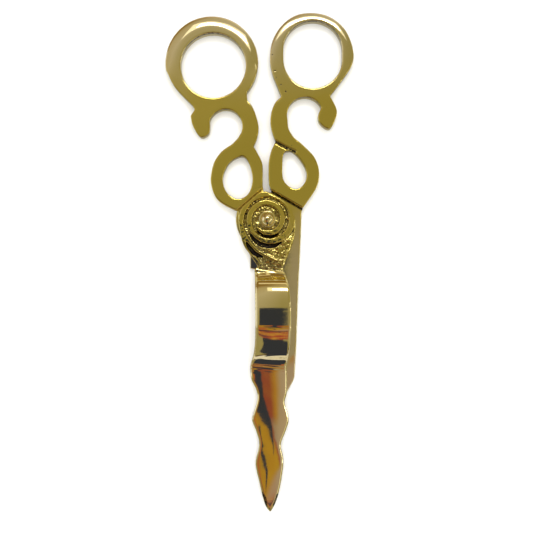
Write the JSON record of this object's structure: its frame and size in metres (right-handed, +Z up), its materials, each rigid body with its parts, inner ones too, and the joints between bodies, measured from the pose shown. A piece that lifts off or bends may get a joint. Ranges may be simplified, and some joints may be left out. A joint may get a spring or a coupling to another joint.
{
  "type": "wick trimmer",
  "caption": "Cast brass scissor-type candle wick trimmer with scrolled ring handles, spiral pivot boss, raised arch that holds the cut wick, and a waved dagger tip.",
  "frame": {"origin": "on the pivot axis, on the plane that the tool lies on", "axes": "+Z up out of the face with the arch and the domed rivet, +Y from the pivot toward the finger rings, -Y toward the pointed tip"},
  "size_m": [0.0662, 0.1756, 0.01],
  "materials": {
    "cast_brass_upper": "polished yellow brass, pitted in the grooves of the spiral",
    "cast_brass_lower": "polished yellow brass with light file marks",
    "rivet_brass": "bright polished brass"
  },
  "bodies": {
    "lower_body": {"lower_half": "cast_brass_lower", "pivot_rivet": "rivet_brass", "rivet_collar": "rivet_brass"},
    "upper_body": {"upper_half": "cast_brass_upper"}
  },
  "joints": [
    {"name": "pivot", "type": "hinge", "parent": "lower_body", "child": "upper_body", "pos_m": [0, 0, 0.003], "axis": [0, 0, 1], "range_deg": [-4, 40]}
  ]
}
